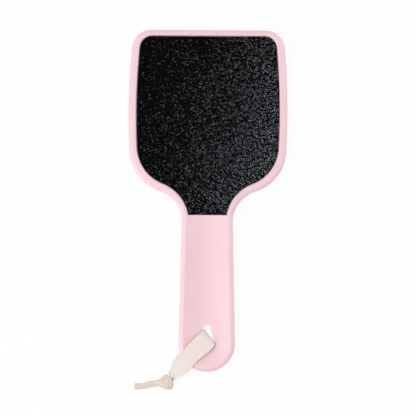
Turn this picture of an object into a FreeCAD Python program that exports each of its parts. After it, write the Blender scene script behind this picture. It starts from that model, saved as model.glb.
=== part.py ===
"""Foot file: a moulded paddle, an abrasive sheet on each face and a ribbon loop in the hanging hole.

The paddle and its sheets are drawn with the handle's end on the X axis, the head towards +Y and the
middle of the thickness at z = 0. Their placement then puts the middle of the length over the origin
and the rear rim at z = 0. The ribbon is drawn where it lies.
"""
import FreeCAD, Part
import enum
import math
import os
import Sketcher
from FreeCAD import Placement, Rotation, Vector

# Driving sizes in millimetres. Places along the paddle are measured from the handle's end.
SIZES = {
    # Outline of the paddle, seen from above.
    "overall_length": 210.0,
    "head_width": 97.8,
    "head_widest_at": 158.0,
    "head_side_round": 448.0,
    "head_corner_round": 12.0,
    "shoulder_round": 27.2,
    "neck_round": 19.3,
    "neck_width": 31.4,
    "neck_at": 92.0,
    "handle_end_round": 17.4,
    # Thickness, and the step down from each face of the head to the handle.
    "head_thickness": 9.0,
    "handle_step": 0.7,
    "step_ramp_length": 18.0,
    # Rim, from the outside in: rounded edge, flat land, rounded lip.
    "edge_round": 2.6,
    "lip_round": 0.7,
    "side_land": 1.55,
    "top_land": 0.3,
    "neck_land": 0.9,
    "handle_land": 0.4,
    # Dished recess of the head, the same on both faces.
    "recess_edge_depth": 1.1,
    "recess_dish_round": 505.0,
    "recess_corner_round": 7.9,
    "recess_shoulder_round": 25.0,
    "recess_neck_round": 25.1,
    "recess_end_above_neck": 4.3,
    # Abrasive sheet: clearance inside the recess, and the thickness of its layers.
    "sheet_clearance": 0.3,
    "film_thickness": 0.15,
    "backing_thickness": 0.35,
    "grit_thickness": 0.35,
    # Dished grip of the handle.
    "grip_dish_round": 54.0,
    # Teardrop hanging hole, its large end concentric with the handle's end.
    "hole_large_round": 5.0,
    "hole_small_round": 2.6,
    "hole_centre_distance": 9.0,
    "hole_edge_round": 0.5,
    # Ribbon loop.
    "ribbon_width": 11.0,
    "ribbon_thickness": 0.35,
    "fold_width": 8.4,
    "throat_width": 4.8,
    "throat_taper": 9.0,
    "knot_length": 12.4,
    "knot_width": 8.8,
    "knot_height": 5.8,
    "tail_width": 3.2,
    "tail_thickness": 0.6,
}

# The middle of the ribbon's fold, from the centre of the hole's large end, across and along.
FOLD_FROM_HOLE = (0.75, 5.5)
# Headings in degrees from +X. The ribbon's legs run in one upright plane through the fold.
LEG_HEADING = 229.7
KNOT_HEADING = 194.0
# Routes of the fold and the legs: distance from the fold, and height over the table.
FOLD_ROUTE = [(8.0, 9.1), (2.1, 9.0), (0.0, 6.9), (0.0, 2.3), (1.9, 0.32), (8.0, 0.3)]
FRONT_ROUTE = [(8.0, 9.1), (16.0, 9.35), (24.5, 9.2), (31.0, 6.4), (36.6, 3.8)]
BACK_ROUTE = [(8.0, 0.3), (16.0, 0.36), (24.5, 0.33), (31.0, 1.4), (36.6, 2.6)]
# The knot's middle and the tails' routes: across and along from the fold, and height over the table.
KNOT_PLACE = (-27.35, -30.1, 3.1)
UPPER_TAIL_ROUTE = [(-29.25, -30.1, 1.9), (-34.75, -30.6, 1.5), (-39.95, -31.8, 1.2), (-44.75, -32.2, 1.1)]
LOWER_TAIL_ROUTE = [(-29.25, -30.7, 0.9), (-34.75, -31.2, 0.6), (-39.95, -32.3, 0.42), (-45.35, -32.8, 0.4)]
# Share of the shorter run beside a bend that the bend's arc takes up.
ARC_SHARE = 0.45

doc = FreeCAD.newDocument("foot_file")
table = doc.addObject("Spreadsheet::Sheet", "Sizes")
for row, (alias, value) in enumerate(SIZES.items(), start=1):
    table.set(f"A{row}", alias)
    table.set(f"B{row}", str(value))
    table.setAlias(f"B{row}", alias)
doc.recompute()


def size(alias):
    """A driving size, read from the table."""
    return float(table.get(alias))


# Sums of driving sizes: as expressions on the table, and as numbers for first places of sketch points.
RIM_SIDE = "(Sizes.edge_round + Sizes.side_land + Sizes.lip_round)"
RIM_TOP = "(Sizes.edge_round + Sizes.top_land + Sizes.lip_round)"
RIM_NECK = "(Sizes.edge_round + Sizes.neck_land + Sizes.lip_round)"
RECESS_END = "(Sizes.neck_at + Sizes.recess_end_above_neck)"
RECESS_HALF_WIDTH = f"(Sizes.head_width / 2 - {RIM_SIDE})"
HANDLE_FACE = "(Sizes.head_thickness / 2 - Sizes.handle_step)"
DISH_AXIS = (f"(Sizes.head_thickness / 2 - Sizes.recess_edge_depth"
             f" + sqrt(Sizes.recess_dish_round^2 - {RECESS_HALF_WIDTH}^2))")
END_DISH = "(Sizes.handle_end_round - Sizes.edge_round - Sizes.handle_land)"
GRIP_AXIS = f"({HANDLE_FACE} + sqrt(Sizes.grip_dish_round^2 - {END_DISH}^2))"
PRISM_HEIGHT = "2 * Sizes.head_thickness"
rim_side = size("edge_round") + size("side_land") + size("lip_round")
rim_top = size("edge_round") + size("top_land") + size("lip_round")
rim_neck = size("edge_round") + size("neck_land") + size("lip_round")
recess_end = size("neck_at") + size("recess_end_above_neck")
recess_half_width = size("head_width") / 2 - rim_side
recess_top = size("overall_length") - rim_top
half_thickness = size("head_thickness") / 2
handle_face = half_thickness - size("handle_step")


class Axis(enum.IntEnum):
    """How a sketch numbers its level and its upright axis."""

    X = -1
    Y = -2


class At(enum.IntEnum):
    """How a sketch numbers the points of an element."""

    START = 1
    END = 2
    CENTRE = 3


# The sketches' origin, the two faces with their signs, a sheet's layers from the paddle outwards, and the
# slack of a place test.
ORIGIN_POINT = (Axis.X, At.START)
FRONT_AND_REAR = ((1, "front"), (-1, "rear"))
SHEET_LAYERS = (
    ("adhesive_film", "Sizes.film_thickness"),
    ("backing_sheet", "Sizes.backing_thickness"),
    ("grit_coat", "Sizes.grit_thickness"),
)
NEAR = 1e-3


def new_body(name):
    """A body and its origin planes by role."""
    body = doc.addObject("PartDesign::Body", name)
    planes = {feature.Role: feature for feature in body.Origin.OriginFeatures}
    return body, planes


def new_sketch(body, plane, name):
    """A sketch on one of the body's own planes."""
    sketch = body.newObject("Sketcher::SketchObject", name)
    sketch.AttachmentSupport = (plane, [""])
    sketch.MapMode = "FlatFace"
    return sketch


def hold(sketch, kind, *places):
    """Add a constraint that has no size."""
    sketch.addConstraint(Sketcher.Constraint(kind, *places))


def dimension(sketch, name, expression, kind, *places):
    """Add a dimension, the last of its places being its first value, and tie it to the table."""
    index = sketch.addConstraint(Sketcher.Constraint(kind, *places))
    sketch.renameConstraint(index, name)
    sketch.setExpression(f"Constraints.{name}", expression)


def check_solved(sketch):
    """Stop unless every dimension of the sketch is met and none is missing."""
    doc.recompute()
    solved = sketch.solve()
    if solved != 0 or sketch.DoF != 0:
        raise RuntimeError(f"{sketch.Name}: solver {solved}, free {sketch.DoF}")


def polar(centre, radius, angle):
    """The point at an angle, in radians, on a circle."""
    return (centre[0] + radius * math.cos(angle), centre[1] + radius * math.sin(angle))


def bearing(start, end):
    """The angle, in radians, of the line from start to end."""
    return math.atan2(end[1] - start[1], end[0] - start[0])


def line(start, end):
    """A straight sketch element."""
    return Part.LineSegment(Vector(*start, 0), Vector(*end, 0))


def arc(centre, radius, start, end):
    """An arc that runs counter-clockwise from one angle to the other."""
    circle = Part.Circle(Vector(*centre, 0), Vector(0, 0, 1), radius)
    return Part.ArcOfCircle(circle, start, end)


def circle_meeting(first, first_radius, second, second_radius):
    """Where two circles cross, on the side that lies further along +Y."""
    gap = math.dist(first, second)
    along = (first_radius**2 - second_radius**2 + gap**2) / (2 * gap)
    across = math.sqrt(first_radius**2 - along**2)
    heading = bearing(first, second)
    foot = polar(first, along, heading)
    sides = [polar(foot, across, heading + turn) for turn in (math.pi / 2, -math.pi / 2)]
    return max(sides, key=lambda point: point[1])


def draw_head(sketch, half_width, top, radii, neck_centre, neck_radius):
    """Draw the right half's top edge, corner, side and shoulder, each tangent to the next.

    Returns the angle at which the neck's arc starts.
    """
    corner, side, shoulder = radii
    side_centre = (half_width - side, size("head_widest_at"))
    corner_y = top - corner
    corner_x = side_centre[0] + math.sqrt((side - corner)**2 - (corner_y - side_centre[1])**2)
    shoulder_centre = circle_meeting(side_centre, side - shoulder, neck_centre, neck_radius + shoulder)
    side_start = bearing(side_centre, (corner_x, corner_y))
    side_end = bearing(side_centre, shoulder_centre)
    neck_start = bearing(shoulder_centre, neck_centre)
    sketch.addGeometry(line((0, top), (corner_x, top)), False)
    sketch.addGeometry(arc((corner_x, corner_y), corner, side_start, math.pi / 2), False)
    sketch.addGeometry(arc(side_centre, side, side_end, side_start), False)
    sketch.addGeometry(arc(shoulder_centre, shoulder, neck_start, side_end), False)
    return neck_start + math.pi


def tie_head(sketch, half_width, top, corner, side, shoulder):
    """Tie what draw_head drew, elements 0 to 3, to expressions, and the neck's arc, element 4, to it."""
    hold(sketch, "Horizontal", 0)
    hold(sketch, "PointOnObject", 0, At.START, Axis.Y)
    hold(sketch, "Tangent", 0, At.END, 1, At.END)
    hold(sketch, "Tangent", 1, At.START, 2, At.END)
    hold(sketch, "Tangent", 2, At.START, 3, At.END)
    hold(sketch, "Tangent", 3, At.START, 4, At.START)
    geometry = sketch.Geometry
    dimension(sketch, "corner_radius", corner, "Radius", 1, geometry[1].Radius)
    dimension(sketch, "side_radius", side, "Radius", 2, geometry[2].Radius)
    dimension(sketch, "shoulder_radius", shoulder, "Radius", 3, geometry[3].Radius)
    top_now, side_now = geometry[0].StartPoint, geometry[2].Center
    dimension(sketch, "top", top, "DistanceY", *ORIGIN_POINT, 0, At.START, top_now.y)
    dimension(sketch, "side_across", f"{side} - {half_width}",
              "DistanceX", 2, At.CENTRE, *ORIGIN_POINT, -side_now.x)
    dimension(sketch, "side_along", "Sizes.head_widest_at",
              "DistanceY", *ORIGIN_POINT, 2, At.CENTRE, side_now.y)


def draw_paddle_outline(body, planes):
    """Right half of the paddle's outline: head, neck, straight handle side and round handle end."""
    sketch = new_sketch(body, planes["XY_Plane"], "paddle_outline")
    top, end_round, neck_round = size("overall_length"), size("handle_end_round"), size("neck_round")
    neck_point = (size("neck_width") / 2, size("neck_at"))
    end_centre = (0.0, end_round)
    # The handle's side runs from the neck point to the round end and is tangent to it.
    lean = bearing(end_centre, neck_point) - math.acos(end_round / math.dist(neck_point, end_centre))
    end_point = polar(end_centre, end_round, lean)
    neck_centre = polar(neck_point, neck_round, lean)
    radii = (size("head_corner_round"), size("head_side_round"), size("shoulder_round"))
    neck_start = draw_head(sketch, size("head_width") / 2, top, radii, neck_centre, neck_round)
    sketch.addGeometry(arc(neck_centre, neck_round, neck_start, lean + math.pi), False)
    sketch.addGeometry(line(neck_point, end_point), False)
    sketch.addGeometry(arc(end_centre, end_round, -math.pi / 2, lean), False)
    sketch.addGeometry(line((0, 0), (0, top)), False)
    tie_head(sketch, "Sizes.head_width / 2", "Sizes.overall_length", "Sizes.head_corner_round",
             "Sizes.head_side_round", "Sizes.shoulder_round")
    hold(sketch, "Tangent", 4, At.END, 5, At.START)
    hold(sketch, "Tangent", 5, At.END, 6, At.END)
    hold(sketch, "PointOnObject", 6, At.CENTRE, Axis.Y)
    hold(sketch, "Coincident", 6, At.START, 7, At.START)
    hold(sketch, "Coincident", 7, At.END, 0, At.START)
    hold(sketch, "Coincident", 7, At.START, *ORIGIN_POINT)
    dimension(sketch, "neck_radius", "Sizes.neck_round", "Radius", 4, neck_round)
    dimension(sketch, "end_radius", "Sizes.handle_end_round", "Radius", 6, end_round)
    dimension(sketch, "neck_across", "Sizes.neck_width / 2",
              "DistanceX", *ORIGIN_POINT, 5, At.START, neck_point[0])
    dimension(sketch, "neck_along", "Sizes.neck_at", "DistanceY", *ORIGIN_POINT, 5, At.START, neck_point[1])
    check_solved(sketch)
    return sketch


def draw_recess_outline(body, planes, name, inset, inset_by, end, end_by):
    """Right half of the head's recess, or of the sheet in it when inset by the sheet's clearance."""
    sketch = new_sketch(body, planes["XY_Plane"], name)
    top = recess_top - inset
    radii = (size("recess_corner_round") - inset, size("head_side_round") - rim_side - inset,
             size("recess_shoulder_round") - inset)
    neck_round = size("recess_neck_round") + inset
    neck_centre = (size("neck_width") / 2 - rim_neck + size("recess_neck_round"), size("neck_at"))
    neck_start = draw_head(sketch, recess_half_width - inset, top, radii, neck_centre, neck_round)
    neck_end = math.pi - math.asin((end - neck_centre[1]) / neck_round)
    sketch.addGeometry(arc(neck_centre, neck_round, neck_start, neck_end), False)
    sketch.addGeometry(line(polar(neck_centre, neck_round, neck_end), (0, end)), False)
    sketch.addGeometry(line((0, end), (0, top)), False)
    tie_head(sketch, f"({RECESS_HALF_WIDTH} - {inset_by})", f"Sizes.overall_length - {RIM_TOP} - {inset_by}",
             f"Sizes.recess_corner_round - {inset_by}", f"(Sizes.head_side_round - {RIM_SIDE} - {inset_by})",
             f"Sizes.recess_shoulder_round - {inset_by}")
    hold(sketch, "Coincident", 4, At.END, 5, At.START)
    hold(sketch, "Coincident", 5, At.END, 6, At.START)
    hold(sketch, "Coincident", 6, At.END, 0, At.START)
    hold(sketch, "Horizontal", 5)
    hold(sketch, "PointOnObject", 6, At.START, Axis.Y)
    dimension(sketch, "neck_radius", f"Sizes.recess_neck_round + {inset_by}", "Radius", 4, neck_round)
    dimension(sketch, "neck_across", f"Sizes.neck_width / 2 - {RIM_NECK} + Sizes.recess_neck_round",
              "DistanceX", *ORIGIN_POINT, 4, At.CENTRE, neck_centre[0])
    dimension(sketch, "neck_along", "Sizes.neck_at", "DistanceY", *ORIGIN_POINT, 4, At.CENTRE, neck_centre[1])
    dimension(sketch, "end", end_by, "DistanceY", *ORIGIN_POINT, 6, At.START, end)
    check_solved(sketch)
    return sketch


def draw_side_profile(body, planes):
    """Upper half of the side view: the head's face, two arcs down the step, and the handle's face."""
    sketch = new_sketch(body, planes["YZ_Plane"], "side_profile")
    top, step, ramp = size("overall_length"), size("handle_step"), size("step_ramp_length")
    bend = (ramp**2 + step**2) / (4 * step)
    turn = 2 * math.atan2(step, ramp)
    step_top = recess_end + ramp
    upright = math.pi / 2
    sketch.addGeometry(line((top, half_thickness), (step_top, half_thickness)), False)
    sketch.addGeometry(arc((step_top, half_thickness - bend), bend, upright, upright + turn), False)
    sketch.addGeometry(arc((recess_end, handle_face + bend), bend, -upright, turn - upright), False)
    sketch.addGeometry(line((recess_end, handle_face), (0, handle_face)), False)
    sketch.addGeometry(line((0, handle_face), (0, 0)), False)
    sketch.addGeometry(line((0, 0), (top, 0)), False)
    sketch.addGeometry(line((top, 0), (top, half_thickness)), False)
    hold(sketch, "Tangent", 0, At.END, 1, At.START)
    hold(sketch, "Tangent", 1, At.END, 2, At.END)
    hold(sketch, "Tangent", 2, At.START, 3, At.START)
    for element, following in ((3, 4), (4, 5), (5, 6), (6, 0)):
        hold(sketch, "Coincident", element, At.END, following, At.START)
    for element in (0, 3, 5):
        hold(sketch, "Horizontal", element)
    for element in (4, 6):
        hold(sketch, "Vertical", element)
    hold(sketch, "Equal", 1, 2)
    hold(sketch, "Coincident", 5, At.START, *ORIGIN_POINT)
    dimension(sketch, "length", "Sizes.overall_length", "DistanceX", 5, At.START, 5, At.END, top)
    dimension(sketch, "head_half", "Sizes.head_thickness / 2",
              "DistanceY", 6, At.START, 6, At.END, half_thickness)
    dimension(sketch, "handle_half", HANDLE_FACE, "DistanceY", 4, At.END, 4, At.START, handle_face)
    dimension(sketch, "step_low", RECESS_END, "DistanceX", *ORIGIN_POINT, 3, At.START, recess_end)
    dimension(sketch, "step_length", "Sizes.step_ramp_length", "DistanceX", 3, At.START, 0, At.END, ramp)
    check_solved(sketch)
    return sketch


def draw_hole(body, planes):
    """Teardrop: a large and a small arc on the paddle's middle line, joined by two tangent sides."""
    sketch = new_sketch(body, planes["XY_Plane"], "hole_outline")
    large, small, apart = size("hole_large_round"), size("hole_small_round"), size("hole_centre_distance")
    low = (0.0, size("handle_end_round"))
    high = (0.0, low[1] + apart)
    right = math.asin((large - small) / apart)
    left = math.pi - right
    sketch.addGeometry(arc(low, large, left, 2 * math.pi + right), False)
    sketch.addGeometry(line(polar(low, large, right), polar(high, small, right)), False)
    sketch.addGeometry(arc(high, small, right, left), False)
    sketch.addGeometry(line(polar(high, small, left), polar(low, large, left)), False)
    for element, following in ((0, 1), (1, 2), (2, 3), (3, 0)):
        hold(sketch, "Tangent", element, At.END, following, At.START)
    hold(sketch, "PointOnObject", 0, At.CENTRE, Axis.Y)
    hold(sketch, "PointOnObject", 2, At.CENTRE, Axis.Y)
    dimension(sketch, "large_radius", "Sizes.hole_large_round", "Radius", 0, large)
    dimension(sketch, "small_radius", "Sizes.hole_small_round", "Radius", 2, small)
    dimension(sketch, "apart", "Sizes.hole_centre_distance", "DistanceY", 0, At.CENTRE, 2, At.CENTRE, apart)
    dimension(sketch, "place", "Sizes.handle_end_round", "DistanceY", *ORIGIN_POINT, 0, At.CENTRE, low[1])
    check_solved(sketch)
    return sketch


def mirrored_prism(name, draw, length, mirror_role, *details):
    """A body that pads a half profile to both sides of its sketch and mirrors it into one solid."""
    body, planes = new_body(name)
    pad = body.newObject("PartDesign::Pad", f"{name}_pad")
    pad.Profile = draw(body, planes, *details)
    pad.SideType = "Symmetric"
    pad.setExpression("Length", length)
    mirror = body.newObject("PartDesign::Mirrored", f"{name}_mirror")
    mirror.Originals = [pad]
    mirror.MirrorPlane = (planes[mirror_role], [""])
    body.Tip = mirror
    doc.recompute()
    return body


def boolean(kind, name, base, tool):
    """A cut, common or fuse of two objects."""
    result = doc.addObject(f"Part::{kind}", name)
    result.Base = base
    result.Tool = tool
    result.Refine = True
    doc.recompute()
    return result


def middle_of(edge):
    """The point halfway along an edge."""
    return edge.valueAt((edge.FirstParameter + edge.LastParameter) / 2)


def is_wall(face, point):
    """Whether a face stands square to the paddle's faces at a point."""
    across, along = face.Surface.parameter(point)
    return abs(face.normalAt(across, along).z) < NEAR


def wall_edges(shape, chosen):
    """Names of the edges between an upright wall and a face whose middles pass a test."""
    names = []
    for number, edge in enumerate(shape.Edges, start=1):
        middle = middle_of(edge)
        walls = [is_wall(face, middle) for face in shape.ancestorsOfType(edge, Part.Face)]
        if sorted(walls) == [False, True] and chosen(middle):
            names.append(f"Edge{number}")
    return names


def round_edges(body, feature, name, radius, chosen):
    """Round a feature's wall edges that pass a test."""
    fillet = body.newObject("PartDesign::Fillet", name)
    fillet.Base = (feature, wall_edges(feature.Shape, chosen))
    fillet.setExpression("Radius", radius)
    doc.recompute()


def body_on(name, base):
    """A body that goes on from another object's shape."""
    body, planes = new_body(name)
    body.BaseFeature = base
    doc.recompute()
    return body, planes


def dish_cylinder(name, radius, side):
    """A cylinder along the paddle that a face's dish is part of: side is 1 in front and -1 at the rear."""
    cylinder = doc.addObject("Part::Cylinder", name)
    cylinder.setExpression("Radius", radius)
    cylinder.setExpression("Height", "Sizes.overall_length")
    cylinder.Placement.Rotation = Rotation(Vector(1, 0, 0), -90)
    cylinder.setExpression(".Placement.Base.z", f"{side} * {DISH_AXIS}")
    return cylinder


def on_lip(point):
    """Whether a point is on the upper edge of the recess in either face, apart from its end in the handle."""
    along = size("neck_at") + NEAR < point.y < recess_top + NEAR
    return along and abs(point.x) < recess_half_width + NEAR and abs(point.z) > handle_face - NEAR


def on_hole(point):
    """Whether a point is on an edge of the hanging hole."""
    reach = size("hole_centre_distance") + size("hole_small_round")
    return math.hypot(point.x, point.y - size("handle_end_round")) < reach + NEAR


def cut_grip(base, side, face):
    """Dish one face of the handle: a cylinder that follows the handle's flare, and a ball at its end."""
    grip_round = size("grip_dish_round")
    edge = size("edge_round") + size("handle_land")
    neck_rise = math.sqrt(grip_round**2 - (size("neck_width") / 2 - edge)**2)
    end_rise = math.sqrt(grip_round**2 - (size("handle_end_round") - edge)**2)
    tilt = math.degrees(math.atan2(neck_rise - end_rise, size("neck_at") - size("handle_end_round")))
    trough = doc.addObject("Part::Cylinder", f"{face}_grip_trough")
    trough.setExpression("Radius", "Sizes.grip_dish_round")
    trough.setExpression("Height", "Sizes.overall_length")
    trough.Placement.Rotation = Rotation(Vector(1, 0, 0), -90 + side * tilt)
    ball = doc.addObject("Part::Sphere", f"{face}_grip_ball")
    ball.setExpression("Radius", "Sizes.grip_dish_round")
    for tool, name in ((trough, "trough"), (ball, "ball")):
        tool.setExpression(".Placement.Base.y", "Sizes.handle_end_round")
        tool.setExpression(".Placement.Base.z", f"{side} * {GRIP_AXIS}")
        base = boolean("Cut", f"{face}_{name}_cut", base, tool)
    return base


def make_handle_space():
    """A box over the handle, as far as the recess's end."""
    box = doc.addObject("Part::Box", "handle_space")
    box.setExpression("Length", "Sizes.head_width")
    box.setExpression("Width", RECESS_END)
    box.setExpression("Height", PRISM_HEIGHT)
    box.setExpression(".Placement.Base.x", "-Sizes.head_width / 2")
    box.setExpression(".Placement.Base.z", "-Sizes.head_thickness")
    return box


def make_head(blank, handle_space):
    """The head's end of the blank, with a dished recess and a rounded lip in each face."""
    # The recess is cut on into the handle, so that its lip still runs straight where the handle takes over.
    recess = mirrored_prism("recess_prism", draw_recess_outline, PRISM_HEIGHT, "YZ_Plane",
                            "recess_outline", 0, "0", size("neck_at"), "Sizes.neck_at")
    shape = blank
    for side, face in FRONT_AND_REAR:
        dish = dish_cylinder(f"{face}_recess_dish", "Sizes.recess_dish_round", side)
        shape = boolean("Cut", f"{face}_recessed", shape, boolean("Common", f"{face}_recess", recess, dish))
    lipped, _ = body_on("head_lipped", shape)
    round_edges(lipped, lipped.Tip, "recess_lips", "Sizes.lip_round", on_lip)
    return boolean("Cut", "head_stock", lipped, handle_space)


def make_paddle():
    """The moulding: head and handle of one blank with rounded edges, and the hanging hole."""
    outline = mirrored_prism("outline_prism", draw_paddle_outline, PRISM_HEIGHT, "YZ_Plane")
    side_view = mirrored_prism("side_prism", draw_side_profile, "2 * Sizes.head_width", "XY_Plane")
    blank, _ = body_on("paddle_blank", boolean("Common", "paddle_block", outline, side_view))
    round_edges(blank, blank.Tip, "paddle_edges", "Sizes.edge_round", lambda point: True)
    handle_space = make_handle_space()
    handle = boolean("Common", "handle_stock", blank, handle_space)
    for side, face in FRONT_AND_REAR:
        handle = cut_grip(handle, side, face)
    shape = boolean("Fuse", "paddle_joined", make_head(blank, handle_space), handle)
    paddle, planes = body_on("paddle_body", shape)
    hole = paddle.newObject("PartDesign::Pocket", "hanging_hole")
    hole.Profile = draw_hole(paddle, planes)
    hole.SideType = "Symmetric"
    hole.Type = "ThroughAll"
    doc.recompute()
    print("hole removes", round(shape.Shape.Volume - hole.Shape.Volume, 1), "mm3")
    round_edges(paddle, hole, "hole_edges", "Sizes.hole_edge_round", on_hole)
    return paddle


def make_sheets():
    """An abrasive sheet on each face: three layers, each the sheet's outline cut from a thin curved shell."""
    clearance = size("sheet_clearance")
    outline = mirrored_prism("sheet_prism", draw_recess_outline, PRISM_HEIGHT, "YZ_Plane",
                             "sheet_outline", clearance, "Sizes.sheet_clearance",
                             recess_end + clearance, f"{RECESS_END} + Sizes.sheet_clearance")
    layers = []
    for side, grade in ((1, "coarse"), (-1, "fine")):
        under = "Sizes.recess_dish_round"
        for layer, thickness in SHEET_LAYERS:
            name = f"{grade}_{layer}"
            over = f"{under} - {thickness}"
            outside = dish_cylinder(f"{name}_under", under, side)
            inside = dish_cylinder(f"{name}_over", over, side)
            layers.append(boolean("Common", name, outline, boolean("Cut", f"{name}_shell", outside, inside)))
            under = over
    return layers


def rounded_path(points):
    """Straight runs through the points, joined by arcs as large as the runs allow. Prints their radii."""
    edges, radii = [], []
    start = points[0]
    for before, corner, after in zip(points, points[1:], points[2:]):
        back = (before - corner).normalize()
        ahead = (after - corner).normalize()
        half_turn = (math.pi - back.getAngle(ahead)) / 2
        trim = ARC_SHARE * min(before.distanceToPoint(corner), after.distanceToPoint(corner))
        radius = trim / math.tan(half_turn)
        bow = corner + (back + ahead).normalize() * (math.hypot(trim, radius) - radius)
        edges.append(Part.LineSegment(start, corner + back * trim).toShape())
        edges.append(Part.Arc(corner + back * trim, bow, corner + ahead * trim).toShape())
        radii.append(round(radius, 1))
        start = corner + ahead * trim
    edges.append(Part.LineSegment(start, points[-1]).toShape())
    print("arc radii", radii, "length", round(sum(edge.Length for edge in edges), 2))
    return Part.Wire(edges)


def swept_strip(points, wide, thick, across):
    """A flat strip along a route, wide along a level direction. Prints how true its volume is."""
    path = rounded_path(points)
    first = path.Edges[0]
    start = first.valueAt(first.FirstParameter)
    up = first.tangentAt(first.FirstParameter).cross(across).normalize()
    side, rise = across * (wide / 2), up * (thick / 2)
    corners = [start + side + rise, start - side + rise, start - side - rise, start + side - rise]
    strip = path.makePipeShell([Part.makePolygon(corners + corners[:1])], True, False)
    print("volume over length times section", round(strip.Volume / (wide * thick * path.Length), 4))
    return strip


def make_ribbon():
    """The ribbon: its fold in the hole, a leg over and a leg under the handle, the knot and two tails."""
    heading = math.radians(LEG_HEADING)
    along = Vector(math.cos(heading), math.sin(heading), 0)
    across = Vector(-along.y, along.x, 0)
    fold_place = Vector(FOLD_FROM_HOLE[0], FOLD_FROM_HOLE[1], 0)
    fold_place.y += size("handle_end_round") - size("overall_length") / 2
    thick, full, throat = size("ribbon_thickness"), size("ribbon_width"), size("throat_width")
    solids = []

    def add(name, shape):
        solids.append(doc.addObject("Part::Feature", name))
        solids[-1].Shape = shape

    def in_leg_plane(route):
        return [fold_place + along * distance + Vector(0, 0, height) for distance, height in route]

    def leg(route):
        """A leg at full width, drawn in to the throat before the knot."""
        near, far = route[0][0], route[-1][0]
        taper = far - size("throat_taper")
        right = [(near, full / 2), (taper, full / 2), (far, throat / 2)]
        plan = right + [(distance, -off) for distance, off in reversed(right)]
        corners = [fold_place + along * distance + across * off for distance, off in plan]
        plan_face = Part.Face(Part.makePolygon(corners + corners[:1]))
        prism = plan_face.extrude(Vector(0, 0, 2 * size("head_thickness")))
        return swept_strip(in_leg_plane(route), full, thick, across).common(prism)

    add("ribbon_fold", swept_strip(in_leg_plane(FOLD_ROUTE), size("fold_width"), thick, across))
    add("ribbon_front_leg", leg(FRONT_ROUTE))
    add("ribbon_back_leg", leg(BACK_ROUTE))
    knot = doc.addObject("Part::Ellipsoid", "ribbon_knot")
    knot.setExpression("Radius1", "Sizes.knot_height / 2")
    knot.setExpression("Radius2", "Sizes.knot_length / 2")
    knot.setExpression("Radius3", "Sizes.knot_width / 2")
    knot.Placement = Placement(fold_place + Vector(*KNOT_PLACE), Rotation(Vector(0, 0, 1), KNOT_HEADING))
    solids.append(knot)
    for name, route in (("ribbon_tail_upper", UPPER_TAIL_ROUTE), ("ribbon_tail_lower", LOWER_TAIL_ROUTE)):
        points = [fold_place + Vector(*place) for place in route]
        run = points[1] - points[0]
        level = Vector(-run.y, run.x, 0).normalize()
        add(name, swept_strip(points, size("tail_width"), size("tail_thickness"), level))
    return solids


fixed_pieces = [make_paddle()] + make_sheets()
for piece in fixed_pieces:
    piece.setExpression(".Placement.Base.y", "-Sizes.overall_length / 2")
    piece.setExpression(".Placement.Base.z", "Sizes.head_thickness / 2")
pieces = fixed_pieces + make_ribbon()
doc.recompute()

# Every object has to be sound before any file is written.
for item in doc.Objects:
    if "Invalid" in item.State or "Error" in item.State:
        raise RuntimeError(f"{item.Name}: {item.State}")
for piece in pieces:
    shape = piece.Shape
    if shape.isNull() or not shape.isValid() or len(shape.Solids) != 1:
        raise RuntimeError(f"{piece.Label}: unsound shape")
    print(piece.Label, round(shape.Volume, 1), "mm3")
os.makedirs("parts", exist_ok=True)
for piece in pieces:
    piece.Shape.exportStep(f"parts/{piece.Label}.step")
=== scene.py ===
"""Looks of the foot file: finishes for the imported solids, grains on both sheets and a woven ribbon.

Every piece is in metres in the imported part's own frame: +Y runs from the handle to the head, and +Z
up through the coarse face. The table is at z = 0.
"""
import logging
import math
from dataclasses import dataclass
from enum import Enum

import bpy
import numpy as np
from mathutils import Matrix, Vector


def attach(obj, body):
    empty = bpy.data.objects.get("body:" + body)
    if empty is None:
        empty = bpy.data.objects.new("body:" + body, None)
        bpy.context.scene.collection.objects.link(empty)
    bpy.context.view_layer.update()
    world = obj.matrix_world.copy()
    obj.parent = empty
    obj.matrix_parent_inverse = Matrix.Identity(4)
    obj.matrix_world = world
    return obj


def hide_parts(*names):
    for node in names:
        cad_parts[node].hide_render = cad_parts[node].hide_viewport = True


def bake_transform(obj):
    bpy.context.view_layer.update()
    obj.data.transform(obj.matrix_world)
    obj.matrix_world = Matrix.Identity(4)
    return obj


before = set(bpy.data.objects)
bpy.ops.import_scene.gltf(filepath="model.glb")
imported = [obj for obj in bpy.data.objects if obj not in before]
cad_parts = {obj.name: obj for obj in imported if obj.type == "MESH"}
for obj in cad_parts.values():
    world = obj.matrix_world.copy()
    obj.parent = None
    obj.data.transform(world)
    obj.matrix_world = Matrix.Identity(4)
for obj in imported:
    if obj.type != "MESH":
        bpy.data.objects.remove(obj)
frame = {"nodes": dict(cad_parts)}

LOG = logging.getLogger("foot_file")
MM = 0.001
FULL_TURN = 2.0 * math.pi
GRAIN_SHADE = "grain_shade"

Colour = tuple[float, float, float]
Place = tuple[float, float, float]
Pair = tuple[float, float]
Span = tuple[float, float]
Socket = bpy.types.NodeSocket
Value = float | Socket


class Body(str, Enum):
    """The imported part's bodies."""

    PADDLE = "paddle"
    RIBBON = "ribbon"


class Side(float, Enum):
    """The two faces of the paddle, by the sign of their outward direction."""

    FRONT = 1.0
    REAR = -1.0


class Grade(str, Enum):
    """The two abrasive sheets, by the start of their packed names."""

    COARSE = "coarse"
    FINE = "fine"


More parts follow.
